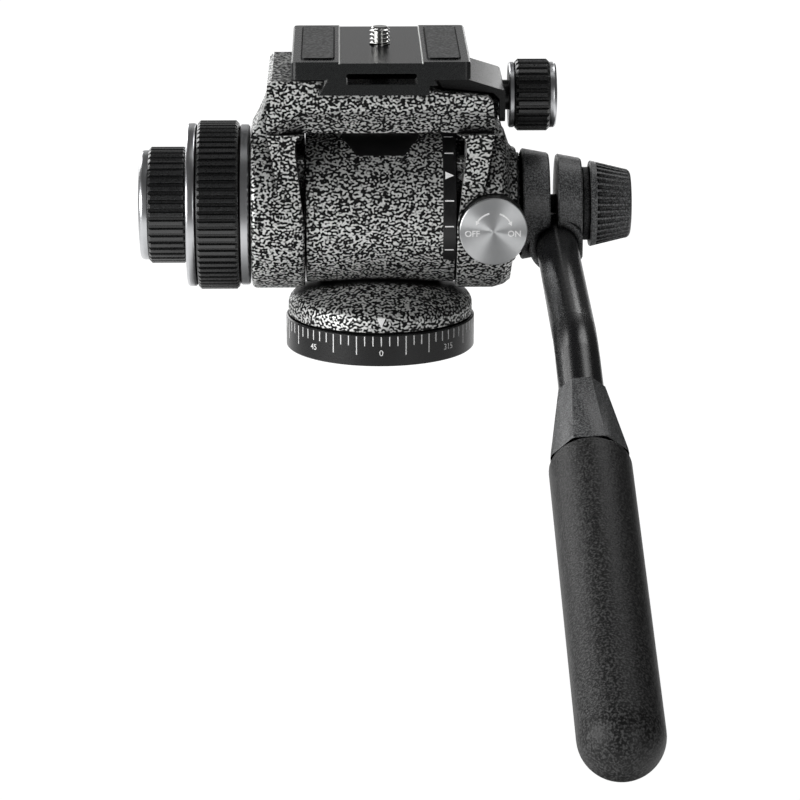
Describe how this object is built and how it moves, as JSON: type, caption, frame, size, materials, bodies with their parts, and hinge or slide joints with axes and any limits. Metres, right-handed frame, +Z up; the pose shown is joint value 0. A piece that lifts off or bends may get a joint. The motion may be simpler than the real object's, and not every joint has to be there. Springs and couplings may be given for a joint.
{
  "type": "two-way fluid head",
  "caption": "Speckle-painted pan and tilt head on a graduated base, with a dovetail camera plate, screw clamp, ribbed drag and lock knobs, balance selector and a bent pan bar.",
  "frame": {"origin": "mouth of the tripod thread, in the middle of the base's underside", "axes": "+Z up along the pan axis, +X along the tilt axis towards the pan bar, +Y away from the operator"},
  "size_m": [0.1559, 0.2966, 0.1538],
  "materials": {
    "speckle_paint": "baked speckle enamel, silver grey veins on black, slightly raised",
    "anodised_black": "satin black anodised aluminium",
    "bar_black": "satin black coated tube",
    "turned_aluminium": "turned gunmetal aluminium",
    "spun_aluminium": "spun bright aluminium",
    "raw_aluminium": "plain machined aluminium, hidden",
    "steel": "plain machined steel",
    "screw_steel": "bright nickel plated steel",
    "bronze": "sintered bronze",
    "grip_rubber": "ribbed black rubber",
    "handle_rubber": "fine grained black rubber",
    "black_plastic": "fine grained black moulding",
    "washer_plastic": "sliding plastic, hidden",
    "felt": "greased black felt",
    "friction_fibre": "friction fibre, hidden"
  },
  "bodies": {
    "base": {"base_dial": "anodised_black", "pan_spindle": "steel", "base_screws": "steel", "pan_thrust_washer": "washer_plastic", "disc_springs": "steel", "spindle_nut": "steel", "brake_disc": "steel", "pan_damper_lower": "raw_aluminium"},
    "pan_body": {"pan_housing": "speckle_paint", "pan_seal": "felt", "pan_bush": "bronze", "pan_damper_upper": "raw_aluminium", "tilt_scale": "black_plastic", "access_cap": "black_plastic", "drum_cap_left": "raw_aluminium", "drum_cap_right": "raw_aluminium", "tilt_bush_left": "bronze", "tilt_bush_right": "bronze", "tilt_damper_stator": "raw_aluminium", "friction_discs_fibre": "friction_fibre", "counterbalance_spring": "steel", "brake_bridge": "steel"},
    "pan_brake_plunger": {"brake_plunger": "steel"},
    "cradle": {"tilt_cradle": "speckle_paint", "left_trunnion": "steel", "right_trunnion": "steel", "tilt_damper_rotor": "raw_aluminium", "friction_discs_steel": "steel", "counterbalance_hub": "raw_aluminium", "counterbalance_cover": "speckle_paint", "rosette_head": "black_plastic", "lock_stud": "steel"},
    "tilt_press": {"pressure_plate": "steel", "push_pins": "steel"},
    "pan_brake_rod": {"brake_rod": "steel"},
    "drag_ring": {"drag_hub": "anodised_black", "drag_grip": "grip_rubber", "drag_trim_inner": "turned_aluminium", "drag_trim_outer": "turned_aluminium"},
    "pan_knob": {"pan_knob_hub": "anodised_black", "pan_knob_grip": "grip_rubber", "pan_knob_cap": "turned_aluminium"},
    "jaw": {"clamp_jaw": "anodised_black", "jaw_pins": "steel"},
    "lock_knob": {"lock_knob_core": "anodised_black", "lock_knob_ring": "turned_aluminium", "lock_knob_grip": "grip_rubber", "lock_knob_cap": "turned_aluminium"},
    "plate": {"camera_plate": "anodised_black", "plate_pads": "grip_rubber"},
    "plate_screw": {"camera_screw": "screw_steel"},
    "selector": {"selector_knob": "black_plastic", "selector_face": "spun_aluminium"},
    "clutch": {"clutch_pin": "steel"},
    "pan_bar": {"bar_clamp_inner": "black_plastic", "bar_clamp_outer": "black_plastic", "bar_tube": "bar_black", "bar_collar": "black_plastic", "bar_grip": "handle_rubber"},
    "bar_clamp_knob": {"bar_knob": "black_plastic"}
  },
  "joints": [
    {"name": "pan_turn", "type": "hinge", "parent": "base", "child": "pan_body", "pos_m": [0, 0, 0.02], "axis": [0, 0, 1], "continuous": true},
    {"name": "tilt", "type": "hinge", "parent": "pan_body", "child": "cradle", "pos_m": [0, 0, 0.0454], "axis": [1, 0, 0], "range_deg": [-90, 50]},
    {"name": "drag_turn", "type": "hinge", "parent": "cradle", "child": "drag_ring", "pos_m": [0, 0, 0.0454], "axis": [1, 0, 0], "range_deg": [0, 270]},
    {"name": "press_slide", "type": "slide", "parent": "cradle", "child": "tilt_press", "axis": [1, 0, 0], "range_m": [0, 0.00057]},
    {"name": "pan_lock_turn", "type": "hinge", "parent": "cradle", "child": "pan_knob", "pos_m": [0, 0, 0.0454], "axis": [1, 0, 0], "range_deg": [0, 180]},
    {"name": "brake_rod_slide", "type": "slide", "parent": "cradle", "child": "pan_brake_rod", "axis": [1, 0, 0], "range_m": [0, 0.00051]},
    {"name": "brake_plunger_slide", "type": "slide", "parent": "pan_body", "child": "pan_brake_plunger", "axis": [0, 0, 1], "range_m": [-0.00051, 0]},
    {"name": "lock_turn", "type": "hinge", "parent": "jaw", "child": "lock_knob", "pos_m": [0.045, 0, 0.0805], "axis": [1, 0, 0], "range_deg": [0, 721]},
    {"name": "jaw_slide", "type": "slide", "parent": "cradle", "child": "jaw", "axis": [1, 0, 0], "range_m": [0, 0.003]},
    {"name": "plate_slide", "type": "slide", "parent": "cradle", "child": "plate", "axis": [0, 1, 0], "range_m": [-0.012, 0.012]},
    {"name": "camera_screw_turn", "type": "hinge", "parent": "plate", "child": "plate_screw", "pos_m": [0, 0, 0.097], "axis": [0, 0, 1], "continuous": true},
    {"name": "selector_turn", "type": "hinge", "parent": "cradle", "child": "selector", "pos_m": [0.0348, -0.027, 0.0433], "axis": [0, 1, 0], "range_deg": [0, 90]},
    {"name": "clutch_slide", "type": "slide", "parent": "cradle", "child": "clutch", "axis": [0, 1, 0], "range_m": [0, 0.00301]},
    {"name": "bar_angle", "type": "hinge", "parent": "cradle", "child": "pan_bar", "pos_m": [0.054, 0, 0.0454], "axis": [1, 0, 0], "range_deg": [-60, 100]},
    {"name": "bar_knob_turn", "type": "hinge", "parent": "pan_bar", "child": "bar_clamp_knob", "pos_m": [0.07, 0, 0.0454], "axis": [1, 0, 0], "range_deg": [0, 720]}
  ],
  "couplings": [
    {"joint": "press_slide", "follows": "drag_turn", "m_per_rad": 0.00011937},
    {"joint": "brake_rod_slide", "follows": "pan_lock_turn", "m_per_rad": 0.00015915},
    {"joint": "brake_plunger_slide", "follows": "pan_lock_turn", "m_per_rad": -0.00015915},
    {"joint": "lock_turn", "follows": "jaw_slide", "rad_per_m": 4188.8},
    {"joint": "clutch_slide", "follows": "selector_turn", "m_per_rad": 0.0019099}
  ]
}
